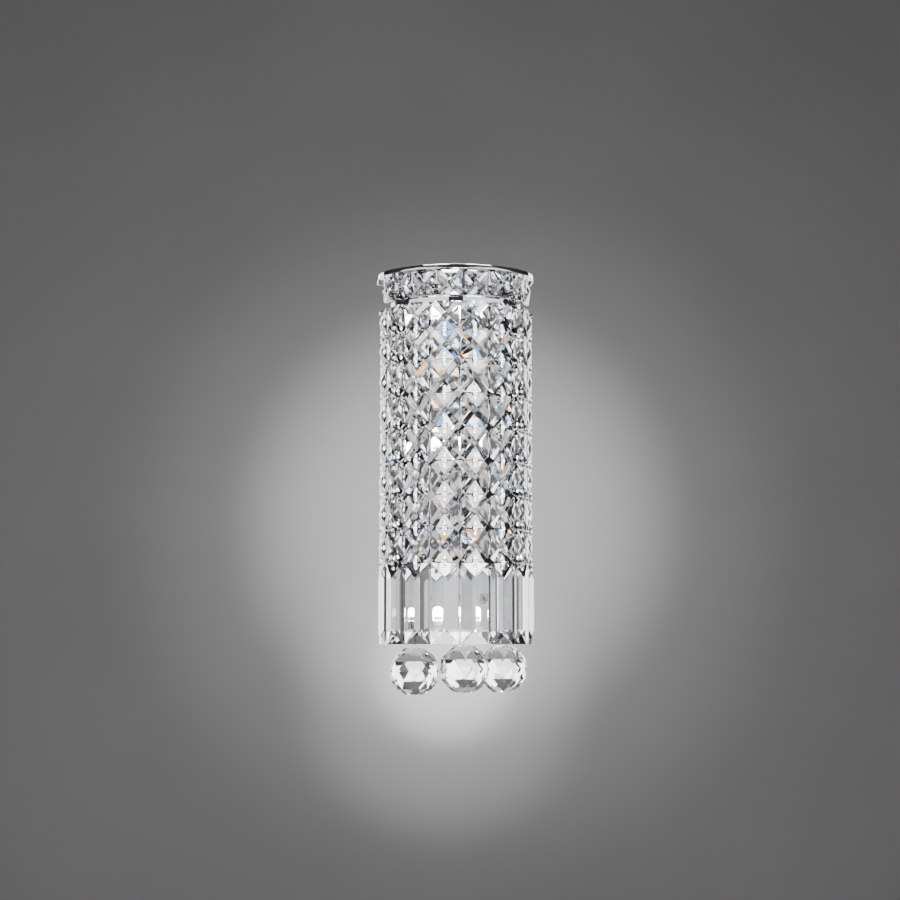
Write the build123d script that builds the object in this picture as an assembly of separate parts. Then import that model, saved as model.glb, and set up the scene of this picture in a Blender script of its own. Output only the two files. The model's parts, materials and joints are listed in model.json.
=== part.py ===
from build123d import *
import math
import os

# Half-round crystal wall sconce: chrome cap, band of square crystals, eight crystal strands and
# three faceted balls, lit by three pin-base capsule lamps inside the drum.
# Millimetres, +Z up, the front faces -Y, the wall is the plane Y = 0.
# The origin is the middle of the wall bracket's screw slots, on the wall plane.
# Heights are given as levels, measured down from the top of the cap.

# ---- place of the origin and of the drum's axis ----
MOUNT_LEVEL = 172.0  # the wall bracket's middle, below the top of the cap
AXIS_Y = -26.0  # the drum's axis stands this far in front of the wall

# ---- sheet metal and general clearances ----
SHEET = 1.2  # pan wall
FIT = 0.1  # between a fastener and its hole, or between seated sheets
THROUGH = 4.0  # length of a cut through one sheet, started 1 mm or a sheet's thickness before it
HOLE_BEYOND = 0.4  # a blind hole goes on past its pin's end

# ---- top cap ----
CAP_RADIUS = 76.0
CAP_SHEET = 1.5
CAP_RIM = 4.3  # outside height of the rim
CAP_CORNER = 8.0  # back corners, in plan
CAP_EDGE = 0.5  # broken upper edge

# ---- back pan ----
PAN_WIDTH = 124.0
PAN_DEPTH = 24.0
PAN_BOTTOM_LEVEL = 342.0
PAN_CORNER = 4.0

# ---- wall bracket and what holds the pan to it ----
BAR_LENGTH = 112.0
BAR_HEIGHT = 20.0
BAR_SHEET = 2.0
BAR_CORNER = 3.0
SLOT_SPACING = 88.9  # standard outlet box ears
SLOT_LENGTH = 12.0
SLOT_RADIUS = 2.4
NIPPLE_RADIUS = 5.2
STUD_SPACING = 60.0
STUD_RADIUS = 2.0
STUD_OUT = 5.0  # stands this far out of the pan's front
NUT_ACROSS = 8.0
NUT_HEIGHT = 4.0
NUT_DOME = 3.4
NUT_DOME_RADIUS = 3.7
NUT_BEVEL = 2.0
GROUND_X = 19.0  # ground screw, to the right of the bracket's middle

# ---- small screws ----
SCREW_RADIUS = 1.5
SCREW_HEAD_RADIUS = 2.8
RING_SCREW_HEAD = 2.4  # head radius of the screws in the strand ring's legs
SCREW_HEAD = 1.6
SCREW_LENGTH = 5.0
CAP_SCREW_X = 44.0
CAP_SCREW_Y = -12.0
HANGER_SCREW_X = 44.0

# ---- strand ring ----
RING_TOP_LEVEL = 28.3
RING_HEIGHT = 5.5
RING_SHEET = 1.5
RING_LEG_END = -5.0  # the legs run back to here beside the pan
RING_SCREW_Y = -13.0
LUG_WIDTH = 5.0
LUG_BELOW = 2.0  # below its peg
PEG_RADIUS = 0.6

# ---- strands ----
STRANDS = 8
STRAND_STEP = 22.5  # degrees
STRAND_RADIUS = 70.0  # axis to the crystals' middle plane
STRAND_TOP_LEVEL = 34.4
CRYSTAL_WIDTH = 26.0
CRYSTAL_GAP = 1.2
SHORT_HEIGHT = 26.8  # the two upper crystals of a strand
SHORT_ROWS = 2
TALL_HEIGHT = 30.5
TALL_ROWS = 6
GIRDLE = 3.0
FACET_RISE = 3.3
CORNER_X = 4.4
CORNER_Z = 3.6
TABLE_X = 3.4  # half width of the small diamond table
PIN_EDGE = 4.3  # hole middle to the crystal's end
HOLE_RADIUS = 1.1
PRISM_HEIGHT = 75.0
PRISM_HIP = 13.5
PRISM_RISE = 4.2

# ---- clips that join a strand's crystals ----
CLIP_REACH = 3.2  # middle plane to the front bar
CLIP_STRIP = 0.8
CLIP_WIDTH = 1.2
CLIP_TIP = 1.8
BUTTON_RADIUS = 1.8
BUTTON_SIDES = 6
BUTTON_HEIGHT = 0.9
PEG_HEAD_REACH = 4.3  # middle plane to the peg's head
PEG_INTO_HEAD = 0.2

# ---- band of squares under the cap ----
BAND_COUNT = 8
BAND_STEP = 20.85  # degrees
BAND_TURN = 3.0  # the band sits turned this far to the right
BAND_RADIUS = 69.0
BAND_TOP_LEVEL = 5.0
SQUARE_WIDTH = 22.0
SQUARE_HEIGHT = 23.4
SQUARE_RISE = 3.0
SQUARE_CORNER = 2.2
SQUARE_TABLE = 2.0
BAND_WIRE = 1.3
BAND_PIN_RADIUS = 0.45
BAND_PIN_DEPTH = 2.4  # into each square's edge
BAND_END_PIN = 2.4
BAND_HOLE_RADIUS = 1.3

# ---- lower hanger ----
HANGER_SHEET = 2.0
HANGER_RADIUS = 60.5
HANGER_INNER = 47.5
HANGER_BACK = -5.0
STRIP_AHEAD = 6.0  # the back strip reaches this far in front of the pan
TONGUE_WIDTH = 24.0
TONGUE_END = 12.0  # in front of the lamp's middle
TONGUE_CORNER = 6.0

# ---- lamps, their sockets and arms ----
LAMP_Y = -50.0
ARM_LEVELS = (53.0, 180.0)
ARM_WIDTH = 20.0
ARM_SHEET = 1.5
ARM_TAB = 22.0
ARM_MARGIN = 2.0  # shelf beyond the socket's flange
ARM_CORNER = 7.0
ARM_SCREW_X = 6.0
SOCKET_FLANGE_RADIUS = 7.0
SOCKET_FLANGE = 2.0
SOCKET_EDGE = 0.6  # broken upper edge of the flange
SOCKET_RADIUS = 5.6
SOCKET_BODY = 8.0
LAMP_PIN_X = 2.0
LAMP_PIN_WIDTH = 0.9
LAMP_PIN_THICK = 0.7
LAMP_PIN_DEPTH = 6.0
LAMP_PIN_GAP = 0.08
LAMP_SEAT = 0.05  # between a lamp's foot and its socket
LEAD_X = 1.5  # the leads stand closer inside the glass than the pins below it
LEAD_WIDTH = 0.6
LEAD_JOIN = 3.0  # above the base's foot
LEAD_STEP = 1.0  # height of the step that joins a pin to its lead
LEAD_GAP = 0.03
BASE_RADIUS = 4.3
BASE_RIB = 0.4
BASE_RIBS = 3
BASE_HEIGHT = 6.5
CAPSULE_RADIUS = 4.6
CAPSULE_HEIGHT = 13.5
CAPSULE_WALL = 0.8
CAPSULE_DOME = 0.8  # the dome's rise over its radius
CAPSULE_SHOULDER = 0.7  # the shoulder ring's radius over the tube's
FILAMENT_LEVEL = 6.5  # above the base
FILAMENT_RADIUS = 0.6
GROMMET_RADIUS = 4.0
GROMMET_LIP = 1.6
GROMMET_BORE = 2.4
GROMMET_DROP = 30.0  # below each lamp seat

# ---- balls ----
BALL_RADIUS = 23.6
BALL_SIDES = 12
BALL_LATITUDES = (68.0, 45.0, 22.5, 0.0, -22.5, -45.0, -68.0)
BALL_PLACES = ((-40.3, -54.0, 39.0), (5.0, -81.5, 36.7), (43.0, -52.0, 36.7))  # x, y, middle's drop below the pan
BALL_BORE = 6.0
WIRE_RADIUS = 0.6
WIRE_HOLE = 1.4
WIRE_HEAD_RADIUS = 2.2
WIRE_HEAD = 1.2
COLLAR_RADIUS = 2.6
COLLAR_HEIGHT = 2.0
SEAT = 0.3  # a hung piece's gap to its seat


def level(down):
    """Height of a level in the part's frame."""
    return MOUNT_LEVEL - down


def on_drum(angle, radius, height):
    """Place at an angle from the front, positive to the right, turned to face outwards."""
    turn = math.radians(angle)
    return Location((radius * math.sin(turn), AXIS_Y - radius * math.cos(turn), height), (0, 0, angle))


def at(x, y, z):
    """Plain place with no turn."""
    return Location((x, y, z))


def save(name, shapes):
    """Writes one node; several solids stay separate in it."""
    parts = list(shapes) if isinstance(shapes, (list, tuple)) else [shapes]
    shape = parts[0] if len(parts) == 1 else Compound(parts)
    export_step(shape, f"parts/{name}.step")


def one(shape):
    """The single solid of a boolean result."""
    return shape.solids().sort_by(lambda body: body.volume)[-1]


def polyhedron(corners, loops):
    """A closed solid from its corners and the loops of its flat faces."""
    faces = []
    for loop in loops:
        faces.append(Face(Wire.make_polygon([corners[i] for i in loop])))
    return Solid(Shell(faces))


def rod(radius, length, direction=(0, 0, 1), start=(0, 0, 0)):
    """Round bar from a start point along a direction."""
    return one(extrude(Plane(origin=start, z_dir=direction) * Circle(radius), length))


def needle(radius, length, direction, start):
    """Thin pin from a start point along a direction, cut to six flats."""
    return one(extrude(Plane(origin=start, z_dir=direction) * RegularPolygon(radius, 6), length))


# ---------------------------------------------------------------- crystals
def crystal(width, height, corner_x, corner_z, rise, table_x):
    """Rectangle with cut corners, faceted alike in front and behind.

    Each side carries a triangle and each cut corner a long strip, which together make an X
    around a small diamond table. The strips are flat because the table's edges run parallel to
    the cut corners.
    """
    a, b = width / 2, height / 2
    table_z = table_x * corner_z / corner_x
    outline = [(a - corner_x, b), (a, b - corner_z), (a, corner_z - b), (a - corner_x, -b)]
    outline += [(-x, -z) for x, z in outline]
    table = [(0, table_z), (table_x, 0), (0, -table_z), (-table_x, 0)]
    corners = []
    for side in (-1, 1):
        corners += [(x, side * GIRDLE / 2, z) for x, z in outline]
        corners += [(x, side * (GIRDLE / 2 + rise), z) for x, z in table]
    loops = []
    for base in (0, 12):
        tips = [base + 8 + k for k in range(4)]
        for k in range(4):
            start, stop = base + (2 * k - 1) % 8, base + 2 * k
            loops.append((start, stop, tips[k]))
            loops.append((stop, base + 2 * k + 1, tips[(k + 1) % 4], tips[k]))
        loops.append(tuple(tips))
    for k in range(8):
        n = (k + 1) % 8
        loops.append((k, n, 12 + n, 12 + k))
    return polyhedron(corners, loops)


def drilled(body, heights):
    """Clip holes through a crystal, front to back, kept to six flats."""
    thick = GIRDLE + 2 * max(FACET_RISE, PRISM_RISE)
    for z in heights:
        body -= needle(HOLE_RADIUS, thick, (0, 1, 0), (0, -thick / 2, z))
    return one(body)


def strand_crystal(height):
    """Strand crystal with a hole near each end."""
    body = crystal(CRYSTAL_WIDTH, height, CORNER_X, CORNER_Z, FACET_RISE, TABLE_X)
    pin = height / 2 - PIN_EDGE
    return drilled(body, (pin, -pin))


def prism():
    """Long bar with a hipped roof in front and behind, drilled near its upper end."""
    a, b = CRYSTAL_WIDTH / 2, PRISM_HEIGHT / 2
    outline = [(-a, b), (a, b), (a, -b), (-a, -b)]
    ridge = [(0, b - PRISM_HIP), (0, PRISM_HIP - b)]
    corners = []
    for side in (-1, 1):
        corners += [(x, side * GIRDLE / 2, z) for x, z in outline]
        corners += [(x, side * (GIRDLE / 2 + PRISM_RISE), z) for x, z in ridge]
    loops = []
    for base in (0, 6):
        top, low = base + 4, base + 5
        loops += [(base, base + 1, top), (base + 1, base + 2, low, top)]
        loops += [(base + 2, base + 3, low), (base + 3, base, top, low)]
    for k in range(4):
        n = (k + 1) % 4
        loops.append((k, n, 6 + n, 6 + k))
    return drilled(polyhedron(corners, loops), (b - PIN_EDGE,))


def row_levels():
    """Level of each crystal's upper end and its height, from the top of a strand down."""
    rows = []
    top = STRAND_TOP_LEVEL
    for height in [SHORT_HEIGHT] * SHORT_ROWS + [TALL_HEIGHT] * TALL_ROWS:
        rows.append((top, height))
        top += height + CRYSTAL_GAP
    return rows


def strand_end_level():
    """Level where the prism starts."""
    top, height = row_levels()[-1]
    return top + height + CRYSTAL_GAP


def button(reach, z=0):
    """Small faceted head, standing out from a bar at the given reach and height."""
    face = Plane(origin=(0, -reach, z), z_dir=(0, -1, 0)) * RegularPolygon(BUTTON_RADIUS, BUTTON_SIDES)
    return extrude(face, BUTTON_HEIGHT)


def clip():
    """Strip bent to a staple, its tips turned in behind, with a faceted head over each pin."""
    reach = CLIP_REACH + CLIP_STRIP
    pin = PIN_EDGE + CRYSTAL_GAP / 2
    half = pin + CLIP_STRIP / 2
    profile = Rectangle(2 * reach, 2 * half) - Rectangle(2 * CLIP_REACH, 2 * (half - CLIP_STRIP))
    profile -= Pos(reach, 0) * Rectangle(2 * CLIP_STRIP, 2 * (half - CLIP_TIP))
    body = extrude(Plane.YZ * profile, CLIP_WIDTH / 2, both=True)
    for z in (-pin, pin):
        body += button(reach, z)
    return one(body)


def strand_angle(number):
    """Angle of a strand, counted from the left."""
    return (number - (STRANDS + 1) / 2) * STRAND_STEP


def strands():
    """Eight strands: crystals, clips and prism of each in nodes of their own."""
    short, tall, bar, staple = strand_crystal(SHORT_HEIGHT), strand_crystal(TALL_HEIGHT), prism(), clip()
    for number in range(1, STRANDS + 1):
        angle = strand_angle(number)
        stones, clips = [], []
        for row, (top, height) in enumerate(row_levels()):
            stone = short if row < SHORT_ROWS else tall
            stones.append(on_drum(angle, STRAND_RADIUS, level(top + height / 2)) * stone)
            joint = level(top + height + CRYSTAL_GAP / 2)
            clips.append(on_drum(angle, STRAND_RADIUS, joint) * staple)
        middle = level(strand_end_level() + PRISM_HEIGHT / 2)
        save(f"strand_{number}_crystals", stones)
        save(f"strand_{number}_clips", clips)
        save(f"strand_{number}_prism", on_drum(angle, STRAND_RADIUS, middle) * bar)


def strand_ring():
    """Band round the drum with two legs beside the pan and a lug with a peg for each strand."""
    inner = PAN_WIDTH / 2 + FIT
    outer = inner + RING_SHEET
    leg = AXIS_Y - RING_LEG_END
    height = level(RING_TOP_LEVEL + RING_HEIGHT)
    front = half_disc(outer) - half_disc(inner)
    body = extrude(at(0, AXIS_Y, height) * front, RING_HEIGHT)
    for side in (-1, 1):
        middle = at(side * (inner + RING_SHEET / 2), AXIS_Y - leg / 2, height + RING_HEIGHT / 2)
        body += middle * Box(RING_SHEET, -leg, RING_HEIGHT)
    peg_level = STRAND_TOP_LEVEL + PIN_EDGE
    lug_height = peg_level + LUG_BELOW - RING_TOP_LEVEL
    for number in range(1, STRANDS + 1):
        angle = strand_angle(number)
        lug = Box(LUG_WIDTH, RING_SHEET, lug_height)
        body += on_drum(angle, inner + RING_SHEET / 2, level(RING_TOP_LEVEL + lug_height / 2)) * lug
        start = (0, STRAND_RADIUS - inner, 0)
        peg = needle(PEG_RADIUS, STRAND_RADIUS - inner + PEG_HEAD_REACH + PEG_INTO_HEAD, (0, -1, 0), start)
        body += on_drum(angle, STRAND_RADIUS, level(peg_level)) * (peg + button(PEG_HEAD_REACH))
    for side in (-1, 1):
        start = (side * (inner - SHEET), RING_SCREW_Y, height + RING_HEIGHT / 2)
        body -= rod(SCREW_RADIUS + FIT, THROUGH, (side, 0, 0), start)
    return one(body)


def half_disc(radius):
    """Half disc in plan, round towards the front, straight along X through the axis."""
    arc = ThreePointArc((-radius, 0), (0, -radius), (radius, 0))
    return make_face(arc + Line((radius, 0), (-radius, 0)))


def band():
    """Squares under the cap, each pinned at both edges to wires that hang in the gaps."""
    blank = crystal(SQUARE_WIDTH, SQUARE_HEIGHT, SQUARE_CORNER, SQUARE_CORNER, SQUARE_RISE, SQUARE_TABLE)
    for side in (-1, 1):
        start = (side * (SQUARE_WIDTH / 2 - BAND_PIN_DEPTH - HOLE_BEYOND), 0, 0)
        blank -= needle(BAND_HOLE_RADIUS, THROUGH, (side, 0, 0), start)
    square = one(blank)
    middle = level(BAND_TOP_LEVEL + SQUARE_HEIGHT / 2)
    first = BAND_TURN - BAND_STEP * (BAND_COUNT - 1) / 2
    squares = [on_drum(first + k * BAND_STEP, BAND_RADIUS, middle) * square for k in range(BAND_COUNT)]
    save("band_crystals", squares)

    edge_radius = math.hypot(BAND_RADIUS, SQUARE_WIDTH / 2)
    edge_turn = math.degrees(math.atan2(SQUARE_WIDTH / 2, BAND_RADIUS))
    gap_radius = edge_radius * math.cos(math.radians(BAND_STEP / 2 - edge_turn))
    half_gap = edge_radius * math.sin(math.radians(BAND_STEP / 2 - edge_turn))
    hangers = []
    for k in range(BAND_COUNT + 1):
        angle = first + (k - 0.5) * BAND_STEP
        left = BAND_END_PIN if k == 0 else half_gap + BAND_PIN_DEPTH
        right = BAND_END_PIN if k == BAND_COUNT else half_gap + BAND_PIN_DEPTH
        place = on_drum(angle, gap_radius, middle)
        rise = level(CAP_SHEET) - middle
        wire = at(0, 0, rise / 2 - BAND_WIRE / 2) * Box(BAND_WIRE, BAND_WIRE, rise + BAND_WIRE)
        pin = needle(BAND_PIN_RADIUS, left + right, (1, 0, 0), (-left, 0, 0))
        hangers.append(place * one(wire + pin + button(BAND_WIRE / 2)))
    save("band_hangers", hangers)


# ---------------------------------------------------------------- frame
def cap_outline(radius, back, corner):
    """Half-round plan with straight sides back to the wall and rounded back corners."""
    sketch = at(0, AXIS_Y, 0) * half_disc(radius)
    depth = back - AXIS_Y
    block = at(0, AXIS_Y + depth / 2, 0) * Rectangle(2 * radius, depth)
    rear = block.vertices().sort_by(Axis.Y)[-2:]
    return sketch + fillet(rear, corner)


def top_cap():
    """Pressed lid with a short rim, open over the pan's width at the wall."""
    plan = cap_outline(CAP_RADIUS, 0, CAP_CORNER)
    hollow = cap_outline(CAP_RADIUS - CAP_SHEET, -CAP_SHEET, CAP_CORNER - CAP_SHEET)
    body = extrude(at(0, 0, level(CAP_RIM)) * plan, CAP_RIM)
    body -= extrude(at(0, 0, level(CAP_RIM)) * hollow, CAP_RIM - CAP_SHEET)
    notch = at(0, 0, level(CAP_RIM) + (CAP_RIM - CAP_SHEET) / 2)
    body -= notch * Box(PAN_WIDTH + 2 * FIT, 2 * PAN_DEPTH, CAP_RIM - CAP_SHEET)
    edge = body.faces().sort_by(Axis.Z)[-1].outer_wire().edges().filter_by(lambda e: e.center().Y < -1)
    body = chamfer(edge, CAP_EDGE)
    for side in (-1, 1):
        body -= rod(SCREW_RADIUS + FIT, THROUGH, (0, 0, 1), (side * CAP_SCREW_X, CAP_SCREW_Y, level(CAP_SHEET) - 1))
    return one(body)


def back_pan():
    """Deep tray, open to the wall, that carries the cap, ring, lamp arms and lower hanger."""
    height = PAN_BOTTOM_LEVEL - CAP_SHEET
    middle = level(CAP_SHEET + height / 2)
    body = at(0, -PAN_DEPTH / 2, middle) * Box(PAN_WIDTH, PAN_DEPTH, height)
    upright = body.edges().filter_by(Axis.Z).sort_by(Axis.Y)[:2]
    body = fillet(upright, PAN_CORNER)
    inner = at(0, -(PAN_DEPTH - SHEET) / 2, middle) * Box(PAN_WIDTH - 2 * SHEET, PAN_DEPTH - SHEET, height - 2 * SHEET)
    soft = inner.edges().filter_by(Axis.Z).sort_by(Axis.Y)[:2]
    body -= fillet(soft, PAN_CORNER - SHEET)
    front = -PAN_DEPTH - 1
    for side in (-1, 1):
        body -= rod(STUD_RADIUS + FIT, THROUGH, (0, 1, 0), (side * STUD_SPACING / 2, front, 0))
        top = (side * CAP_SCREW_X, CAP_SCREW_Y, level(CAP_SHEET) - 2 * SHEET)
        body -= rod(SCREW_RADIUS + FIT, THROUGH, (0, 0, 1), top)
        low = (side * HANGER_SCREW_X, CAP_SCREW_Y, level(PAN_BOTTOM_LEVEL) - 1)
        body -= rod(SCREW_RADIUS + FIT, THROUGH, (0, 0, 1), low)
        flank = (side * (PAN_WIDTH / 2 - 2 * SHEET), RING_SCREW_Y, level(RING_TOP_LEVEL + RING_HEIGHT / 2))
        body -= rod(SCREW_RADIUS + FIT, THROUGH, (side, 0, 0), flank)
    for x, z in arm_screw_places():
        body -= rod(SCREW_RADIUS + FIT, THROUGH, (0, 1, 0), (x, front, z))
    for z in grommet_heights():
        body -= rod(GROMMET_RADIUS + FIT, THROUGH, (0, 1, 0), (0, front, z))
    return one(body)


def arm_screw_places():
    """X and Z of the two screws in each lamp arm's tab."""
    places = []
    for seat in ARM_LEVELS:
        for side in (-1, 1):
            places.append((side * ARM_SCREW_X, level(seat + ARM_SHEET + ARM_TAB / 2)))
    return places


def grommet_heights():
    """Heights of the lead holes, one below each arm's tab and one above the lower hanger."""
    return [level(seat + GROMMET_DROP) for seat in ARM_LEVELS] + [level(PAN_BOTTOM_LEVEL - GROMMET_DROP)]


def wall_bracket():
    """Flat bar with the two slots that take the outlet box screws."""
    body = at(0, -BAR_SHEET / 2, 0) * Box(BAR_LENGTH, BAR_SHEET, BAR_HEIGHT)
    body = fillet(body.edges().filter_by(Axis.Y), BAR_CORNER)
    rear = Plane(origin=(0, 1, 0), z_dir=(0, -1, 0), x_dir=(1, 0, 0))
    for side in (-1, 1):
        slot = rear * Pos(side * SLOT_SPACING / 2, 0) * SlotOverall(SLOT_LENGTH, 2 * SLOT_RADIUS)
        body -= extrude(slot, THROUGH)
        body -= rod(STUD_RADIUS + FIT / 2, THROUGH, (0, -1, 0), (side * STUD_SPACING / 2, 1, 0))
    body -= rod(NIPPLE_RADIUS, THROUGH, (0, -1, 0), (0, 1, 0))
    body -= rod(SCREW_RADIUS + FIT / 2, THROUGH, (0, -1, 0), (GROUND_X, 1, 0))
    return one(body)


def screw(head_at, direction, length=SCREW_LENGTH, head=SCREW_HEAD_RADIUS):
    """Hexagon-headed screw; head_at is the middle of the seat under its head."""
    back = tuple(-component for component in direction)
    return one(needle(SCREW_RADIUS, length, direction, head_at) + needle(head, SCREW_HEAD, back, head_at))


def fasteners():
    """Screws, studs and nuts, each kind in its own node."""
    tops, lows, flanks, arms, studs, nuts = [], [], [], [], [], []
    ring_out = PAN_WIDTH / 2 + FIT + RING_SHEET
    for side in (-1, 1):
        tops.append(screw((side * CAP_SCREW_X, CAP_SCREW_Y, level(0)), (0, 0, -1)))
        under = level(PAN_BOTTOM_LEVEL + HANGER_SHEET)
        lows.append(screw((side * HANGER_SCREW_X, CAP_SCREW_Y, under), (0, 0, 1)))
        seat = (side * ring_out, RING_SCREW_Y, level(RING_TOP_LEVEL + RING_HEIGHT / 2))
        flanks.append(screw(seat, (-side, 0, 0), head=RING_SCREW_HEAD))
        x = side * STUD_SPACING / 2
        studs.append(rod(STUD_RADIUS, PAN_DEPTH + STUD_OUT, (0, -1, 0), (x, 0, 0)))
        hexagon = extrude(Plane(origin=(x, -PAN_DEPTH, 0), z_dir=(0, -1, 0)) * nut_hexagon(), NUT_HEIGHT)
        dome = rod(NUT_DOME_RADIUS, NUT_DOME, (0, -1, 0), (x, -PAN_DEPTH - NUT_HEIGHT, 0))
        dome = chamfer(dome.edges().sort_by(Axis.Y)[0], NUT_BEVEL)
        nut = hexagon + dome
        nuts.append(one(nut - rod(STUD_RADIUS + FIT / 2, STUD_OUT + FIT, (0, -1, 0), (x, -PAN_DEPTH, 0))))
    for x, z in arm_screw_places():
        arms.append(screw((x, -PAN_DEPTH - ARM_SHEET, z), (0, 1, 0)))
    save("cap_screws", tops)
    save("hanger_screws", lows)
    save("ring_screws", flanks)
    save("arm_screws", arms)
    save("bracket_studs", studs)
    save("cap_nuts", nuts)
    save("ground_screw", screw((GROUND_X, -BAR_SHEET, 0), (0, 1, 0), length=BAR_SHEET))


def nut_hexagon():
    """Hexagon with the given size across its flats."""
    return RegularPolygon(NUT_ACROSS / 2, 6, major_radius=False)


def lower_hanger():
    """Flat half ring with a back strip under the pan and a tongue for the lowest lamp."""
    z = level(PAN_BOTTOM_LEVEL + HANGER_SHEET)
    plan = half_disc(HANGER_RADIUS) - half_disc(HANGER_INNER)
    plan = at(0, AXIS_Y, 0) * plan
    strip_front = -PAN_DEPTH - STRIP_AHEAD
    strip = at(0, (HANGER_BACK + strip_front) / 2, 0) * Rectangle(2 * HANGER_RADIUS, HANGER_BACK - strip_front)
    tongue_front = LAMP_Y - TONGUE_END
    tongue = at(0, (HANGER_BACK + tongue_front) / 2, 0) * Rectangle(TONGUE_WIDTH, HANGER_BACK - tongue_front)
    tongue = fillet(tongue.vertices().sort_by(Axis.Y)[:2], TONGUE_CORNER)
    body = extrude(at(0, 0, z) * (plan + strip + tongue), HANGER_SHEET)
    body -= rod(SOCKET_RADIUS + FIT, THROUGH, (0, 0, 1), (0, LAMP_Y, z - 1))
    for x, y, _ in BALL_PLACES:
        body -= rod(WIRE_HOLE, THROUGH, (0, 0, 1), (x, y, z - 1))
    for side in (-1, 1):
        body -= rod(SCREW_RADIUS + FIT, THROUGH, (0, 0, 1), (side * HANGER_SCREW_X, CAP_SCREW_Y, z - 1))
    return one(body)


def lamp_arms():
    """Angle brackets on the pan's front, each with a hole for a socket."""
    arms = []
    for seat in ARM_LEVELS:
        reach = -PAN_DEPTH - (LAMP_Y - SOCKET_FLANGE_RADIUS - ARM_MARGIN)
        shelf = at(0, -PAN_DEPTH - reach / 2, level(seat + ARM_SHEET / 2)) * Box(ARM_WIDTH, reach, ARM_SHEET)
        shelf = fillet(shelf.edges().filter_by(Axis.Z).sort_by(Axis.Y)[:2], ARM_CORNER)
        drop = ARM_SHEET + ARM_TAB
        body = shelf + at(0, -PAN_DEPTH - ARM_SHEET / 2, level(seat + drop / 2)) * Box(ARM_WIDTH, ARM_SHEET, drop)
        body -= rod(SOCKET_RADIUS + FIT, THROUGH, (0, 0, -1), (0, LAMP_Y, level(seat) + 1))
        for x, z in arm_screw_places():
            body -= rod(SCREW_RADIUS + FIT, THROUGH, (0, 1, 0), (x, -PAN_DEPTH - 2 * ARM_SHEET, z))
        arms.append(one(body))
    return arms


def lamp_seats():
    """Heights of the three surfaces that sockets stand on."""
    return [level(seat) for seat in ARM_LEVELS] + [level(PAN_BOTTOM_LEVEL)]


def flat_bars(x, width, clearance, low, high):
    """Two flat upright bars, alike to the left and right, widened by a clearance where they cut."""
    bars = []
    for side in (-1, 1):
        wide = width + 2 * clearance
        thick = LAMP_PIN_THICK + 2 * clearance
        bars.append(at(side * x, LAMP_Y, (low + high) / 2) * Box(wide, thick, high - low))
    return bars


def lamp_leads(foot, clearance):
    """Contact pins, the steps that draw them together inside the base, and the leads above."""
    low = foot + LEAD_JOIN - clearance
    high = foot + LEAD_JOIN + LEAD_STEP + clearance
    bars = flat_bars(LAMP_PIN_X, LAMP_PIN_WIDTH, clearance, foot - LAMP_PIN_DEPTH, high)
    bars += flat_bars(LEAD_X, LEAD_WIDTH, clearance, low, foot + BASE_HEIGHT + FILAMENT_LEVEL)
    bars += flat_bars((LAMP_PIN_X + LEAD_X) / 2, LAMP_PIN_X - LEAD_X, clearance, low, high)
    return bars


def lamp_socket(seat):
    """Ceramic socket: a flange on the bracket, a body through it and two contact slots."""
    flange = rod(SOCKET_FLANGE_RADIUS, SOCKET_FLANGE, (0, 0, 1), (0, LAMP_Y, seat))
    flange = chamfer(flange.edges().sort_by(Axis.Z)[-1], SOCKET_EDGE)
    body = flange + rod(SOCKET_RADIUS, SOCKET_BODY, (0, 0, -1), (0, LAMP_Y, seat))
    top = seat + SOCKET_FLANGE
    for slot in flat_bars(LAMP_PIN_X, LAMP_PIN_WIDTH, LAMP_PIN_GAP, top - LAMP_PIN_DEPTH - HOLE_BEYOND, top + 1):
        body -= slot
    return one(body)


def lamp_grommet(z):
    """Press-in bush: a lip on the pan's front wall and a sleeve through it."""
    axis = (0, 1, 0)
    body = rod(GROMMET_RADIUS + GROMMET_LIP, GROMMET_LIP, axis, (0, -PAN_DEPTH - GROMMET_LIP, z))
    body += rod(GROMMET_RADIUS, 2 * SHEET, axis, (0, -PAN_DEPTH, z))
    return one(body - rod(GROMMET_BORE, 2 * PAN_DEPTH, axis, (0, -2 * PAN_DEPTH, z)))


def turned(points):
    """Solid of revolution about the lamp's upright axis from radius and height pairs."""
    outline = Polyline([(radius, 0, z) for radius, z in points], close=True)
    return Pos(0, LAMP_Y, 0) * revolve(make_face(outline), Axis.Z)


def capsule_outline(radius, low, high):
    """Half section of a tube with a two-step dome, as radius and height pairs."""
    rise = radius * CAPSULE_DOME
    dome = [(radius, high - rise), (radius * CAPSULE_SHOULDER, high - rise * (1 - CAPSULE_SHOULDER))]
    return [(0, low), (radius, low)] + dome + [(0, high)]


def lamp(number, seat):
    """Pin-base capsule lamp: glass, ribbed ceramic base, and pins that run up to the filament."""
    foot = seat + SOCKET_FLANGE + LAMP_SEAT
    head = foot + BASE_HEIGHT
    rib = BASE_HEIGHT / BASE_RIBS
    outline = [(0, foot), (BASE_RADIUS, foot)]
    for k in range(BASE_RIBS):
        outline += [(BASE_RADIUS + BASE_RIB, foot + (k + 0.5) * rib), (BASE_RADIUS, foot + (k + 1) * rib)]
    base = turned(outline + [(0, head)])
    holes = lamp_leads(foot, LEAD_GAP)
    for hole in holes:
        base -= hole
    save(f"lamp_{number}_base", one(base))

    glass = turned(capsule_outline(CAPSULE_RADIUS, head, head + CAPSULE_HEIGHT))
    inner = CAPSULE_RADIUS - CAPSULE_WALL
    glass -= turned(capsule_outline(inner, head + CAPSULE_WALL, head + CAPSULE_HEIGHT - CAPSULE_WALL))
    for hole in holes:
        glass -= hole
    save(f"lamp_{number}_capsule", one(glass))

    height = head + FILAMENT_LEVEL - FILAMENT_RADIUS
    filament = needle(FILAMENT_RADIUS, 2 * LEAD_X, (1, 0, 0), (-LEAD_X, LAMP_Y, height))
    for bar in lamp_leads(foot, 0):
        filament += bar
    save(f"lamp_{number}_filament", one(filament))


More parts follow.
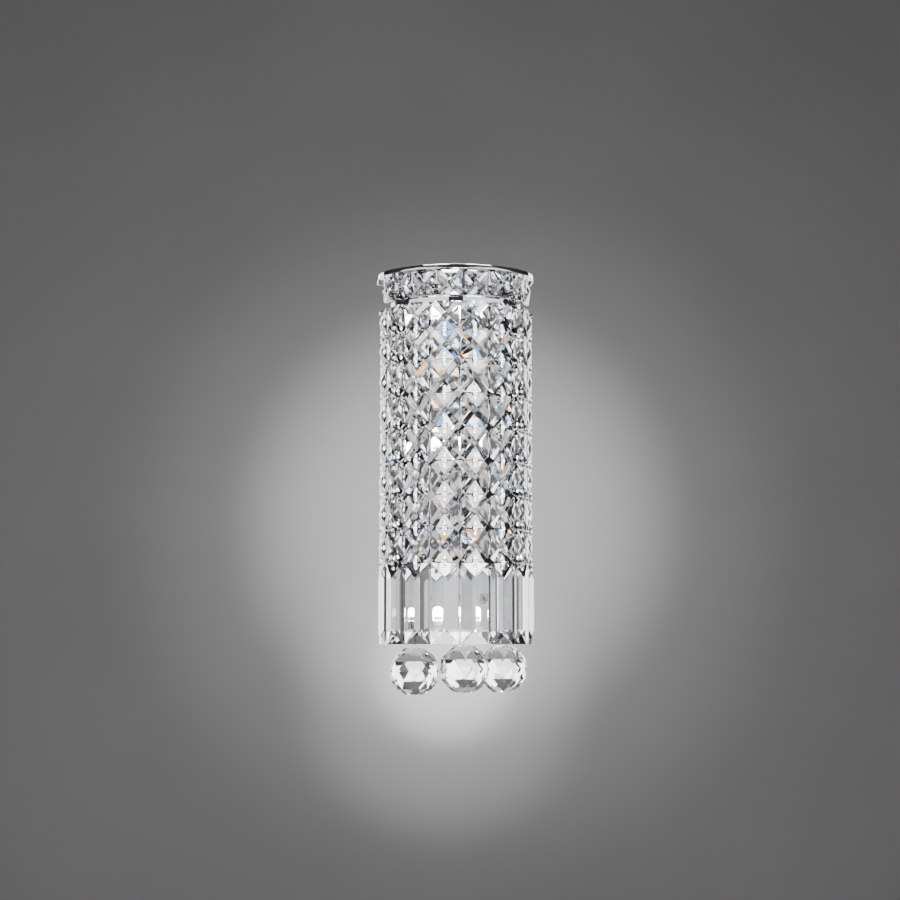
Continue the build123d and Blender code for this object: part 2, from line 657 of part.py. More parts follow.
# ---------------------------------------------------------------- balls
def ball():
    """Sphere cut to staggered rings of triangles, with a bore in its top for the wire."""
    corners, loops = [], []
    step = 360 / BALL_SIDES
    for ring, latitude in enumerate(BALL_LATITUDES):
        lift = BALL_RADIUS * math.sin(math.radians(latitude))
        width = BALL_RADIUS * math.cos(math.radians(latitude))
        for k in range(BALL_SIDES):
            turn = math.radians((k + ring % 2 / 2) * step)
            corners.append((width * math.cos(turn), width * math.sin(turn), lift))
    rings = len(BALL_LATITUDES)
    for ring in range(rings - 1):
        here, below = ring * BALL_SIDES, (ring + 1) * BALL_SIDES
        for k in range(BALL_SIDES):
            n = (k + 1) % BALL_SIDES
            if ring % 2 == 0:
                loops += [(here + k, here + n, below + k), (here + n, below + n, below + k)]
            else:
                loops += [(here + k, here + n, below + n), (here + k, below + n, below + k)]
    loops.append(tuple(range(BALL_SIDES)))
    loops.append(tuple((rings - 1) * BALL_SIDES + k for k in range(BALL_SIDES)))
    table = BALL_RADIUS * math.sin(math.radians(BALL_LATITUDES[0]))
    bore = rod(WIRE_RADIUS + FIT / 2, BALL_BORE + 1, (0, 0, -1), (0, 0, table + 1))
    return one(polyhedron(corners, loops) - bore), table


def balls():
    """Three balls, each on a headed wire that hangs in a hole of the lower hanger."""
    body, table = ball()
    seat = level(PAN_BOTTOM_LEVEL) + SEAT
    for number, (x, y, drop) in enumerate(BALL_PLACES, start=1):
        middle = level(PAN_BOTTOM_LEVEL + drop)
        save(f"ball_{number}", at(x, y, middle) * body)
        top = middle + table
        low = top - BALL_BORE + SEAT
        wire = needle(WIRE_RADIUS, seat + WIRE_HEAD / 2 - low, (0, 0, 1), (x, y, low))
        cone = Cone(WIRE_RADIUS, WIRE_HEAD_RADIUS, WIRE_HEAD, align=(Align.CENTER, Align.CENTER, Align.MIN))
        wire += at(x, y, seat) * cone
        wire += rod(COLLAR_RADIUS, COLLAR_HEIGHT, (0, 0, 1), (x, y, top + FIT / 2))
        save(f"ball_{number}_hook", one(wire))


def main():
    """Builds every node."""
    os.makedirs("parts", exist_ok=True)
    save("wall_bracket", wall_bracket())
    save("back_pan", back_pan())
    save("top_cap", top_cap())
    save("strand_ring", strand_ring())
    save("lower_hanger", lower_hanger())
    fasteners()
    band()
    save("lamp_arms", lamp_arms())
    save("lamp_sockets", [lamp_socket(seat) for seat in lamp_seats()])
    save("lead_grommets", [lamp_grommet(z) for z in grommet_heights()])
    for number, seat in enumerate(lamp_seats(), start=1):
        lamp(number, seat)
    strands()
    balls()


main()
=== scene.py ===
import json
import logging
import math
from dataclasses import dataclass, field
from enum import Enum
from typing import Sequence

import bmesh
import bpy
import numpy as np
from mathutils import Matrix, Vector

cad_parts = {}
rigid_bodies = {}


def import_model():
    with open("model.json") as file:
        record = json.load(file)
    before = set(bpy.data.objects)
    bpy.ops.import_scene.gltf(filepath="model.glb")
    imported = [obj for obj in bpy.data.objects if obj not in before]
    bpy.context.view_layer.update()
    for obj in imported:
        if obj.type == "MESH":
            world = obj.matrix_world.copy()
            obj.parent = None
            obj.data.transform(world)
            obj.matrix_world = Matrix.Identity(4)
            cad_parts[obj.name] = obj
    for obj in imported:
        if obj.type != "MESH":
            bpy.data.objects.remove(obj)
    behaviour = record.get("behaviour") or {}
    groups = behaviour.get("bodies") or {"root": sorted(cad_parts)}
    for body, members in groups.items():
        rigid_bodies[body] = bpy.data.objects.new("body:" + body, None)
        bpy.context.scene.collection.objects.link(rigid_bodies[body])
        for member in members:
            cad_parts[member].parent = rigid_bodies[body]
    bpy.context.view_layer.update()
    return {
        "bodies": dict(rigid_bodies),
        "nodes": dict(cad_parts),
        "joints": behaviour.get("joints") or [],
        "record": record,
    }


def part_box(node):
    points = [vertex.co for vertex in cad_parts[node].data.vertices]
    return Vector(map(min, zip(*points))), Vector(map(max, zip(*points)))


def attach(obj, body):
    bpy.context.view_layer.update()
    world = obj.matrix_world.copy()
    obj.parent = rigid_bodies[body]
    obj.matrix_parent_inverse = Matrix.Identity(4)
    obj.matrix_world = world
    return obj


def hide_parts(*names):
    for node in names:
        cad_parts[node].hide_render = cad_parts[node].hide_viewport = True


# Half-round crystal wall sconce. Metres, +Z up, the front faces -Y, the wall is the plane Y = 0.
# The origin is the middle of the wall bracket's slots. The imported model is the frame: crystals, prisms,
# balls, pan and brackets keep its meshes, and the pieces below replace the ones that want a rounder form.

log = logging.getLogger("sconce")
Part = tuple[np.ndarray, np.ndarray]  # points as (n, 3) and quads as (m, 4)
Colour = tuple[float, float, float]

MM = 0.001
MERGE_DISTANCE = 1e-7  # points nearer than this are one
NOISE_LOW, NOISE_HIGH = 0.35, 0.65  # most of a noise's values lie between these
PHOTO_SIDE = 900  # the photograph's width and height, in its own pixels
HEIGHT_SHARE = "height_share"  # attribute of a lamp's capsule: 0 at its foot, 1 at its pole


# ------------------------------------------------------------------ meshes
def mesh_object(name: str, points: np.ndarray, quads: np.ndarray) -> bpy.types.Object:
    """Makes a mesh object from whole arrays, with coincident points joined and faces turned outwards.

    Args:
        name: the piece's name.
        points: vertices in metres, their coordinates last.
        quads: vertex indices as (m, 4).

    Returns:
        The linked object, at the origin.
    """
    mesh = bpy.data.meshes.new(name)
    mesh.from_pydata(points.reshape(-1, 3).tolist(), [], quads.tolist())
    body = bmesh.new()
    body.from_mesh(mesh)
    bmesh.ops.remove_doubles(body, verts=body.verts, dist=MERGE_DISTANCE)
    bmesh.ops.recalc_face_normals(body, faces=body.faces)
    body.to_mesh(mesh)
    body.free()
    piece = bpy.data.objects.new(name, mesh)
    bpy.context.scene.collection.objects.link(piece)
    return piece


def smooth(piece: bpy.types.Object, angle: float) -> bpy.types.Object:
    """Shades a piece smooth, except over its sharp edges.

    Args:
        piece: the mesh object.
        angle: degrees past which an edge is sharp.

    Returns:
        The piece.
    """
    piece.data.polygons.foreach_set("use_smooth", np.ones(len(piece.data.polygons), dtype=bool))
    piece.data.set_sharp_from_angle(angle=math.radians(angle))
    return piece


def grid_faces(rows: int, columns: int, wrap_rows: bool = False, wrap_columns: bool = False) -> np.ndarray:
    """Quads over a grid stored row by row: point (i, j) joins (i+1, j), (i+1, j+1) and (i, j+1).

    Args:
        rows: number of rows.
        columns: number of columns.
        wrap_rows: whether the last row joins the first.
        wrap_columns: whether the last column joins the first.

    Returns:
        Indices as (quads, 4).
    """
    i, j = np.meshgrid(np.arange(rows if wrap_rows else rows - 1),
                       np.arange(columns if wrap_columns else columns - 1), indexing="ij")
    up, right = (i + 1) % rows, (j + 1) % columns
    corners = [i * columns + j, up * columns + j, up * columns + right, i * columns + right]
    return np.stack(corners, axis=-1).reshape(-1, 4)


def revolved(profile: np.ndarray, steps: int) -> Part:
    """Surface of revolution about Z: radius r and height z go to (r cos t, r sin t, z) for t round a turn.

    Args:
        profile: (n, 2) pairs of radius and height.
        steps: divisions of the turn.

    Returns:
        Points and quads.
    """
    turn = np.linspace(0.0, 2 * math.pi, steps, endpoint=False)
    radius, height = profile[:, :1], np.repeat(profile[:, 1:], steps, axis=1)
    points = np.stack([radius * np.cos(turn), radius * np.sin(turn), height], axis=-1)
    return points.reshape(-1, 3), grid_faces(len(profile), steps, wrap_columns=True)


def tube(path: np.ndarray, radius: float, sides: int, closed: bool = False) -> Part:
    """Round tube along a path: a circle is laid in the plane of each point's normal and binormal.

    The normal is the part of one fixed direction that is square to the path, so the tube doesn't twist.

    Args:
        path: (n, 3) points.
        radius: the tube's radius.
        sides: number of sides.
        closed: whether the path is a ring.

    Returns:
        Points and quads; an open tube's ends are drawn to a point on the path.
    """
    ahead = np.roll(path, -1, axis=0) - np.roll(path, 1, axis=0) if closed else np.gradient(path, axis=0)
    ahead /= np.linalg.norm(ahead, axis=1, keepdims=True)
    reference = np.eye(3)[int(np.argmin(np.abs(ahead).mean(axis=0)))]
    normal = reference - (ahead @ reference)[:, None] * ahead
    normal /= np.linalg.norm(normal, axis=1, keepdims=True)
    across = np.cross(ahead, normal)
    size = np.full(len(path), radius)
    if not closed:
        path, normal, across = (
            np.concatenate([rows[:1], rows, rows[-1:]]) for rows in (path, normal, across))
        size = np.concatenate([[0.0], size, [0.0]])
    turn = np.linspace(0.0, 2 * math.pi, sides, endpoint=False)[None, :, None]
    circle = np.cos(turn) * normal[:, None] + np.sin(turn) * across[:, None]
    points = path[:, None] + size[:, None, None] * circle
    return points.reshape(-1, 3), grid_faces(len(path), sides, wrap_rows=closed, wrap_columns=True)


def block(size: Sequence[float], middle: Sequence[float]) -> Part:
    """Upright block: each corner is the middle plus or minus half the size along every axis.

    Args:
        size: width, depth and height.
        middle: the block's middle.

    Returns:
        Eight points and six quads.
    """
    corners = np.array([[x, y, z] for x in (-0.5, 0.5) for y in (-0.5, 0.5) for z in (-0.5, 0.5)])
    quads = np.array([[0, 1, 3, 2], [4, 6, 7, 5], [0, 4, 5, 1], [2, 3, 7, 6], [0, 2, 6, 4], [1, 5, 7, 3]])
    return corners * np.array(size) + np.array(middle), quads


def joined(parts: Sequence[Part]) -> Part:
    """One part from several, with each one's indices moved past the points before it.

    Args:
        parts: points and quads of each.

    Returns:
        Points and quads of all.
    """
    starts = np.cumsum([0] + [len(points) for points, _ in parts[:-1]])
    quads = [faces + start for (_, faces), start in zip(parts, starts)]
    return np.concatenate([points for points, _ in parts]), np.concatenate(quads)


def placed(part: Part, places: np.ndarray) -> Part:
    """Copies of a part at several places: a point p goes to R p + t for each place's turn R and shift t.

    Args:
        part: points and quads.
        places: (k, 4, 4) matrices.

    Returns:
        Points and quads of all copies.
    """
    points, quads = part
    moved = np.einsum("kij,nj->kni", places[:, :3, :3], points) + places[:, None, :3, 3]
    starts = np.arange(len(places))[:, None, None] * len(points)
    return moved.reshape(-1, 3), (quads[None] + starts).reshape(-1, 4)


# ------------------------------------------------------------------ finishes
class Recipe:
    """A material under construction: a Principled shader with patterns on Object coordinates."""

    def __init__(self, name: str) -> None:
        """Starts an empty material.

        Args:
            name: the material's name.
        """
        self.material = bpy.data.materials.new(name)
        self.material.use_nodes = True
        self.nodes = self.material.node_tree.nodes
        self.links = self.material.node_tree.links
        self.shader = self.nodes["Principled BSDF"]
        self.place = self.nodes.new("ShaderNodeTexCoord").outputs["Object"]

    def value(self, socket: str, amount: float) -> "Recipe":
        """Sets one of the shader's own sockets."""
        self.shader.inputs[socket].default_value = amount
        return self

    def noise(self, scale: float, detail: float = 4.0,
              stretch: Sequence[float] = (1.0, 1.0, 1.0)) -> bpy.types.NodeSocket:
        """A noise pattern, finer along the axes with a larger stretch.

        Args:
            scale: repeats in a metre.
            detail: number of octaves.
            stretch: factor for each axis.

        Returns:
            The pattern's output socket, from 0 to 1.
        """
        mapping = self.nodes.new("ShaderNodeMapping")
        mapping.inputs["Scale"].default_value = tuple(stretch)
        pattern = self.nodes.new("ShaderNodeTexNoise")
        pattern.inputs["Scale"].default_value = scale
        pattern.inputs["Detail"].default_value = detail
        self.links.new(self.place, mapping.inputs["Vector"])
        self.links.new(mapping.outputs["Vector"], pattern.inputs["Vector"])
        return pattern.outputs["Fac"]

    def ramp(self, source: bpy.types.NodeSocket, low: Colour, high: Colour,
             start: float = NOISE_LOW, stop: float = NOISE_HIGH) -> bpy.types.NodeSocket:
        """A colour that runs from low to high as the source runs from start to stop.

        Args:
            source: the pattern.
            low: colour at and below the start.
            high: colour at and above the stop.
            start: the source's value where the run begins.
            stop: the source's value where it ends.

        Returns:
            The colour's output socket.
        """
        ramp = self.nodes.new("ShaderNodeValToRGB")
        ramp.color_ramp.elements[0].position = start
        ramp.color_ramp.elements[1].position = stop
        ramp.color_ramp.elements[0].color = (*low, 1.0)
        ramp.color_ramp.elements[1].color = (*high, 1.0)
        self.links.new(source, ramp.inputs["Fac"])
        return ramp.outputs["Color"]

    def spread(self, source: bpy.types.NodeSocket, low: float, high: float) -> bpy.types.NodeSocket:
        """A number that runs from low to high over the middle of a noise.

        Args:
            source: the noise.
            low: number where the noise is low.
            high: number where it is high.

        Returns:
            The number's output socket.
        """
        spread = self.nodes.new("ShaderNodeMapRange")
        limits = {"From Min": NOISE_LOW, "From Max": NOISE_HIGH, "To Min": low, "To Max": high}
        for socket, amount in limits.items():
            spread.inputs[socket].default_value = amount
        self.links.new(source, spread.inputs["Value"])
        return spread.outputs["Result"]

    def into(self, source: bpy.types.NodeSocket, socket: str) -> "Recipe":
        """Leads a pattern to one of the shader's sockets."""
        self.links.new(source, self.shader.inputs[socket])
        return self

    def bump(self, source: bpy.types.NodeSocket, depth: float, strength: float = 1.0) -> "Recipe":
        """Raises the shading by a pattern.

        Args:
            source: the pattern.
            depth: height of its peaks in metres.
            strength: share of the effect, from 0 to 1.

        Returns:
            The recipe.
        """
        bump = self.nodes.new("ShaderNodeBump")
        bump.inputs["Distance"].default_value = depth
        bump.inputs["Strength"].default_value = strength
        self.links.new(source, bump.inputs["Height"])
        self.links.new(bump.outputs["Normal"], self.shader.inputs["Normal"])
        return self


@dataclass(frozen=True)
class PolishedMetal:
    """Plated or polished metal with faint polishing haze and a hand's smudges."""

    name: str
    dark: Colour
    light: Colour
    gloss: float = 0.03
    haze: float = 0.09
    grain: float = 70.0
    haze_grain: float = 4.0  # times the grain
    ripple_grain: float = 0.5  # times the grain
    ripple: float = 0.01 * MM

    def material(self) -> bpy.types.Material:
        """Metal whose colour and roughness drift with noise, over a shallow ripple.

        Returns:
            The material.
        """
        recipe = Recipe(self.name).value("Metallic", 1.0)
        smudges = recipe.noise(self.grain, detail=5.0)
        polish = recipe.noise(self.grain * self.haze_grain, detail=6.0)
        recipe.into(recipe.ramp(smudges, self.dark, self.light), "Base Color")
        recipe.into(recipe.spread(polish, self.gloss, self.haze), "Roughness")
        recipe.bump(recipe.noise(self.grain * self.ripple_grain, detail=1.0), self.ripple)
        return recipe.material


@dataclass(frozen=True)
class DrawnMetal:
    """Metal with the fine lines of drawing or brushing along X."""

    name: str
    dark: Colour
    light: Colour
    stretch: tuple[float, float, float] = (0.04, 1.0, 1.0)
    grain: float = 2500.0
    gloss: float = 0.22
    haze: float = 0.42
    depth: float = 0.01 * MM
    strength: float = 0.6

    def material(self) -> bpy.types.Material:
        """Metal with one noise, drawn out along X, in its colour, roughness and height.

        Returns:
            The material.
        """
        recipe = Recipe(self.name).value("Metallic", 1.0)
        lines = recipe.noise(self.grain, detail=3.0, stretch=self.stretch)
        recipe.into(recipe.ramp(lines, self.dark, self.light), "Base Color")
        recipe.into(recipe.spread(lines, self.gloss, self.haze), "Roughness")
        recipe.bump(lines, self.depth, self.strength)
        return recipe.material


@dataclass(frozen=True)
class CutCrystal:
    """Clear lead-free crystal: brilliant, with faint cords in the glass and a trace of polishing haze."""

    name: str
    index: float = 1.58
    clear: Colour = (1.0, 1.0, 1.0)
    cool: Colour = (0.965, 0.982, 1.0)
    tint_grain: float = 120.0
    haze: float = 0.004
    haze_grain: float = 900.0
    cord_grain: float = 45.0
    cord_depth: float = 0.004 * MM

    def material(self) -> bpy.types.Material:
        """Glass whose tint drifts between two near-whites, over a trace of haze and shallow cords.

        Returns:
            The material.
        """
        recipe = Recipe(self.name).value("Transmission Weight", 1.0).value("IOR", self.index)
        tint = recipe.noise(self.tint_grain, detail=2.0)
        polish = recipe.noise(self.haze_grain, detail=3.0)
        recipe.into(recipe.ramp(tint, self.clear, self.cool), "Base Color")
        recipe.into(recipe.spread(polish, 0.0, self.haze), "Roughness")
        recipe.bump(recipe.noise(self.cord_grain, detail=0.0), self.cord_depth)
        return recipe.material


@dataclass(frozen=True)
class LitCapsule:
    """Clear quartz with light scattered in it: dim at its foot, white round the coil, warm above."""

    name: str
    foot: Colour
    glow: Colour
    crest: Colour
    strength: float
    index: float = 1.46
    brightens: tuple[float, float] = (0.30, 0.52)  # shares of the height
    warms: tuple[float, float] = (0.72, 0.90)  # shares of the height
    grain: float = 160.0
    gloss: float = 0.02
    haze: float = 0.08

    def material(self) -> bpy.types.Material:
        """Glass whose light follows the height stored on the mesh, from 0 at the foot to 1 at the pole.

        Returns:
            The material.
        """
        recipe = Recipe(self.name).value("Transmission Weight", 1.0).value("IOR", self.index)
        recipe.value("Emission Strength", self.strength)
        height = recipe.nodes.new("ShaderNodeAttribute")
        height.attribute_name = HEIGHT_SHARE
        light = recipe.ramp(height.outputs["Fac"], self.foot, self.glow, *self.brightens)
        for share, colour in zip(self.warms, (self.glow, self.crest)):
            light.node.color_ramp.elements.new(share).color = (*colour, 1.0)
        recipe.into(light, "Emission Color")
        recipe.into(recipe.spread(recipe.noise(self.grain, detail=2.0), self.gloss, self.haze), "Roughness")
        return recipe.material


@dataclass(frozen=True)
class HotWire:
    """Filament at its running heat."""

    name: str
    cooler: Colour
    hotter: Colour
    strength: float
    dark: Colour = (0.4, 0.39, 0.38)
    light: Colour = (0.6, 0.59, 0.57)
    heat_grain: float = 900.0
    metal_grain: float = 500.0
    roughness: float = 0.4

    def material(self) -> bpy.types.Material:
        """Glowing metal whose light is redder where the noise is low.

        Returns:
            The material.
        """
        recipe = Recipe(self.name).value("Metallic", 1.0).value("Roughness", self.roughness)
        recipe.value("Emission Strength", self.strength)
        recipe.into(recipe.ramp(recipe.noise(self.heat_grain), self.cooler, self.hotter), "Emission Color")
        recipe.into(recipe.ramp(recipe.noise(self.metal_grain), self.dark, self.light), "Base Color")
        return recipe.material


@dataclass(frozen=True)
class Glazed:
    """Glazed ceramic or a matt surface, by its roughness."""

    name: str
    dark: Colour
    light: Colour
    gloss: float
    haze: float
    coat: float = 0.0
    grain: float = 300.0
    pit_grain: float = 6.0  # times the grain
    pit_depth: float = 0.02 * MM
    pit_strength: float = 0.5

    def material(self) -> bpy.types.Material:
        """Solid colour that drifts a little, with fine pits.

        Returns:
            The material.
        """
        recipe = Recipe(self.name).value("Coat Weight", self.coat)
        drift = recipe.noise(self.grain, detail=5.0)
        recipe.into(recipe.ramp(drift, self.dark, self.light), "Base Color")
        recipe.into(recipe.spread(drift, self.gloss, self.haze), "Roughness")
        recipe.bump(recipe.noise(self.grain * self.pit_grain, detail=2.0), self.pit_depth, self.pit_strength)
        return recipe.material


class Finish(Enum):
    """Every finish of the sconce and of the studio."""

    CHROME = PolishedMetal("polished_chrome", (0.48, 0.49, 0.51), (0.56, 0.57, 0.59))
    # The links are chrome, but this copy's colour is painted much lighter than the chrome's: a painted
    # highlight for the light they catch.
    LINK_PAINTED_BRIGHT = PolishedMetal("links_painted_bright", (0.90, 0.90, 0.91), (0.97, 0.97, 0.98))
    PAN = PolishedMetal("mirror_pan", (0.26, 0.265, 0.275), (0.33, 0.335, 0.345), gloss=0.0, haze=0.03,
                        grain=30.0)
    STEEL = DrawnMetal("zinc_steel", (0.50, 0.51, 0.54), (0.66, 0.67, 0.69))
    BRASS = DrawnMetal("ground_brass", (0.60, 0.44, 0.17), (0.80, 0.62, 0.30))
    CRYSTAL = CutCrystal("cut_crystal")
    QUARTZ = LitCapsule("lit_capsule", foot=(0.012, 0.012, 0.014), glow=(1.0, 0.92, 0.82),
                        crest=(1.0, 0.40, 0.12), strength=60.0)
    FILAMENT = HotWire("hot_filament", cooler=(1.0, 0.62, 0.33), hotter=(1.0, 0.83, 0.60), strength=160.0)
    CERAMIC = Glazed("white_ceramic", (0.80, 0.79, 0.75), (0.88, 0.87, 0.84), gloss=0.12, haze=0.28,
                     coat=0.5)
    RUBBER = Glazed("black_rubber", (0.015, 0.015, 0.016), (0.05, 0.05, 0.05), gloss=0.5, haze=0.75)
    FLOOR = Glazed("pale_floor", (0.60, 0.60, 0.60), (0.66, 0.66, 0.65), gloss=0.7, haze=0.9, grain=3.0)
    BACKDROP = Glazed("grey_backdrop", (0.088, 0.088, 0.089), (0.102, 0.102, 0.103), gloss=0.8, haze=0.95,
                      grain=2.0)


class Palette:
    """Makes each finish's material once."""

    def __init__(self) -> None:
        """Starts with no materials."""
        self.made: dict[Finish, bpy.types.Material] = {}

    def material(self, finish: Finish) -> bpy.types.Material:
        """The material of a finish.

        Args:
            finish: the finish.

        Returns:
            Its material.
        """
        if finish not in self.made:
            self.made[finish] = finish.value.material()
        return self.made[finish]

    def dress(self, piece: bpy.types.Object, finish: Finish) -> None:
        """Gives a piece or a CAD node one finish all over.

        Args:
            piece: the mesh object.
            finish: its finish.
        """
        material = self.material(finish)
        if piece.material_slots:
            for slot in piece.material_slots:
                slot.material = material
        else:
            piece.data.materials.append(material)


# ------------------------------------------------------------------ the sconce
@dataclass
class Frame:
    """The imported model, the palette, and the sizes that the new pieces take from them."""

    packed: dict
    palette: Palette
    radius: float = field(init=False)
    axis_y: float = field(init=False)
    top: float = field(init=False)

    def __post_init__(self) -> None:
        """Reads the drum's axis, its radius and its top from the cap's box."""
        low, high = self.box("top_cap")
        self.radius = (high[0] - low[0]) / 2
        self.axis_y = low[1] + self.radius
        self.top = high[2]

    def box(self, node: str) -> tuple[np.ndarray, np.ndarray]:
        """A CAD node's lowest and highest corner at rest."""
        low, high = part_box(node)
        return np.array(low), np.array(high)

    def bodies(self, kind: str) -> list[str]:
        """The bodies of one kind, by the start of their names."""
        return [name for name in self.packed["bodies"] if name.startswith(kind)]

    def joint_place(self, body: str) -> Sequence[float]:
        """Where the joint that carries a body is."""
        return next(joint["pos_m"] for joint in self.packed["joints"] if joint["child"] == body)

    def facing_out(self, x: float, y: float, heights: np.ndarray) -> np.ndarray:
        """Places one below the other, each turned about Z so that its front faces away from the drum's axis.

        Args:
            x: X of all the places.
            y: Y of all the places.
            heights: Z of each place.

        Returns:
            (k, 4, 4) matrices.
        """
        turn = math.atan2(x, self.axis_y - y)
        matrices = np.tile(np.eye(4), (len(heights), 1, 1))
        matrices[:, 0, 0] = matrices[:, 1, 1] = math.cos(turn)
        matrices[:, 1, 0] = math.sin(turn)
        matrices[:, 0, 1] = -math.sin(turn)
        matrices[:, 0, 3] = x
        matrices[:, 1, 3] = y
        matrices[:, 2, 3] = heights
        return matrices

    def finish(self, piece: bpy.types.Object, finish: Finish, body: str, slot: str,
               stands_for: Sequence[str] = ()) -> None:
        """Dresses a new piece, seats it on a body and lets it stand for CAD nodes.

        Args:
            piece: the new piece.
            finish: its finish.
            body: the body it moves with.
            slot: the record's material slot; not used.
            stands_for: nodes that it replaces.
        """
        self.palette.dress(piece, finish)
        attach(piece, body)
        if stands_for:
            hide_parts(*stands_for)
        log.info("%s rides on %s, %d faces", piece.name, body, len(piece.data.polygons))


@dataclass
class TopCap:
    """Pressed lid: a flat top, a rounded edge and a short rim, open at the wall over the pan's width."""

    frame: Frame
    corner: float = 8.0 * MM  # back corners, in plan
    least_corner: float = 0.3 * MM
    edge: float = 0.9 * MM
    chamfer: float = 0.15 * MM
    clearance: float = 0.1 * MM  # between the rim and the pan
    arc_steps: int = 160
    corner_steps: int = 12
    edge_steps: int = 7

    def outline(self, inset: float, opening: float) -> tuple[np.ndarray, np.ndarray]:
        """Closed plan of the lid, moved in by an inset.

        The front is a half circle (R sin t, A - R cos t) for t from -90 to 90 degrees. Straight sides lead
        to rounded back corners, and the back runs along the wall with a doubled point at each end of the
        open stretch.

        Args:
            inset: distance moved inwards.
            opening: half the width of the open stretch.

        Returns:
            (n, 2) points and a mask of the open stretch.
        """
        radius, back = self.frame.radius - inset, -inset
        corner = max(self.corner - inset, self.least_corner)
        turn = np.radians(np.linspace(-90, 90, self.arc_steps))
        front = np.stack([radius * np.sin(turn), self.frame.axis_y - radius * np.cos(turn)], axis=1)
        bend = np.radians(np.linspace(0, 90, self.corner_steps))
        turned = corner * np.stack([np.cos(bend), np.sin(bend)], axis=1)
        right = turned + (radius - corner, back - corner)
        left = right[::-1] * (-1, 1)
        rear = np.array([[opening, back], [opening, back], [-opening, back], [-opening, back]])
        points = np.concatenate([front, right, rear, left])
        open_stretch = np.zeros(len(points), dtype=bool)
        first = len(front) + len(right) + 1
        open_stretch[first:first + 2] = True
        return points, open_stretch

    def build(self) -> None:
        """Carries the section round the plan: centre, rounded edge, rim, its foot, inside and underside.

        The underside lies on the pan. Over the open stretch no point is lower than that.
        """
        top, low, pan = self.frame.top, self.frame.box("top_cap")[0][2], self.frame.box("back_pan")[1]
        opening, underside = pan[0] + self.clearance, pan[2]
        sheet = top - underside
        bend = np.radians(np.linspace(0, 90, self.edge_steps))
        rounded = np.stack([self.edge * (1 - np.sin(bend)), top - self.edge * (1 - np.cos(bend))], axis=1)
        rim = [(0.0, low + self.chamfer), (self.chamfer, low), (sheet - self.chamfer, low),
               (sheet, low + self.chamfer), (sheet, underside)]
        rings = []
        for inset, height in (*rounded, *rim):
            plan, open_stretch = self.outline(inset, opening)
            lift = np.where(open_stretch, max(height, underside), height)
            rings.append(np.concatenate([plan, lift[:, None]], axis=1))
        above = np.tile((0.0, self.frame.axis_y, top), (len(rings[0]), 1))
        below = np.tile((0.0, self.frame.axis_y, underside), (len(rings[0]), 1))
        points = np.stack([above, *rings, below])
        piece = mesh_object("cap_shell", points, grid_faces(*points.shape[:2], wrap_columns=True))
        self.frame.finish(smooth(piece, angle=30.0), Finish.CHROME, "frame", "chrome", ["top_cap"])


@dataclass
class Strands:
    """The links of the crystal strands, one below each crystal."""

    frame: Frame
    short: float = 26.8 * MM  # height of the upper crystals
    short_rows: int = 2
    tall_rows: int = 6
    reach: float = 3.3 * MM  # crystal's middle plane to the back of the bar
    head: float = 1.95 * MM
    head_height: float = 1.1 * MM
    bar: float = 3.0 * MM
    strip: float = 0.6 * MM
    eye: float = 1.5 * MM
    eye_reach: float = 0.9 * MM  # back of the bar to the eye's middle
    wire: float = 0.5 * MM
    tip_bend: float = 0.5 * MM
    tip: float = 1.8 * MM
    head_steps: int = 10
    eye_steps: int = 12
    wire_sides: int = 6
    dome: tuple[tuple[float, float], ...] = (
        (0.0, 0.9), (0.55, 0.8), (0.88, 0.5), (1.0, 0.15), (1.0, 0.0), (0.0, 0.0))  # of a head, from its top

    def levels(self, body: str) -> tuple[np.ndarray, float]:
        """Where a strand's links and their pins are.

        The gap between crystals is the one above the prism, and the tall crystals share what the short
        ones and the gaps leave of the strand. The strand's joint is its first pin, so its depth below the
        top crystal's end is every pin's.

        Args:
            body: the strand.

        Returns:
            Height of each link's middle, and the distance from there to its pins.
        """
        low, high = (corner[2] for corner in self.frame.box(f"{body}_crystals"))
        gap = low - self.frame.box(f"{body}_prism")[1][2]
        gaps = self.short_rows + self.tall_rows - 1
        tall = (high - low - self.short_rows * self.short - gaps * gap) / self.tall_rows
        rows = np.repeat([self.short, tall], [self.short_rows, self.tall_rows])
        pin = high - self.frame.joint_place(body)[2]
        return high - np.cumsum(rows + gap) + gap / 2, pin + gap / 2

    def link(self, offset: float) -> Part:
        """A link at the origin, facing -Y: two domed pin heads, a bar, a raised eye and two bent pins.

        Args:
            offset: distance from its middle to its pins.

        Returns:
            Points and quads.
        """
        points, quads = revolved(np.array(self.dome) * (self.head, self.head_height), self.head_steps)
        forward = np.stack([points[:, 0], -points[:, 2] - self.reach, points[:, 1]], axis=1)
        heads = [(forward + (0, 0, side * offset), quads) for side in (-1, 1)]
        bar = block((self.bar, self.strip, 2 * offset), (0, -self.reach - self.strip / 2, 0))
        turn = np.linspace(0, 2 * math.pi, self.eye_steps, endpoint=False)
        depth = np.full(self.eye_steps, -self.reach - self.eye_reach)
        ring = np.stack([self.eye * np.cos(turn), depth, self.eye * np.sin(turn)], axis=1)
        eye = tube(ring, self.wire, self.wire_sides, closed=True)
        behind = self.reach + self.tip_bend
        pins = []
        for side in (-1, 1):
            depths = (-self.reach, self.reach, behind, behind)
            inwards = (0.0, 0.0, self.tip_bend, self.tip)
            run = np.array([[0.0, y, side * (offset - shift)] for y, shift in zip(depths, inwards)])
            pins.append(tube(run, self.wire, self.wire_sides))
        return joined([*heads, bar, eye, *pins])

    def build(self) -> None:
        """One piece of links for each strand."""
        for body in self.frame.bodies("strand_"):
            heights, offset = self.levels(body)
            x, y, _ = self.frame.joint_place(body)
            places = self.frame.facing_out(x, y, heights)
            piece = mesh_object(f"{body}_links", *placed(self.link(offset), places))
            # The links take the chrome painted lighter, a painted highlight for the light they catch.
            self.frame.finish(smooth(piece, angle=40.0), Finish.LINK_PAINTED_BRIGHT, body, "chrome", [f"{body}_clips"])


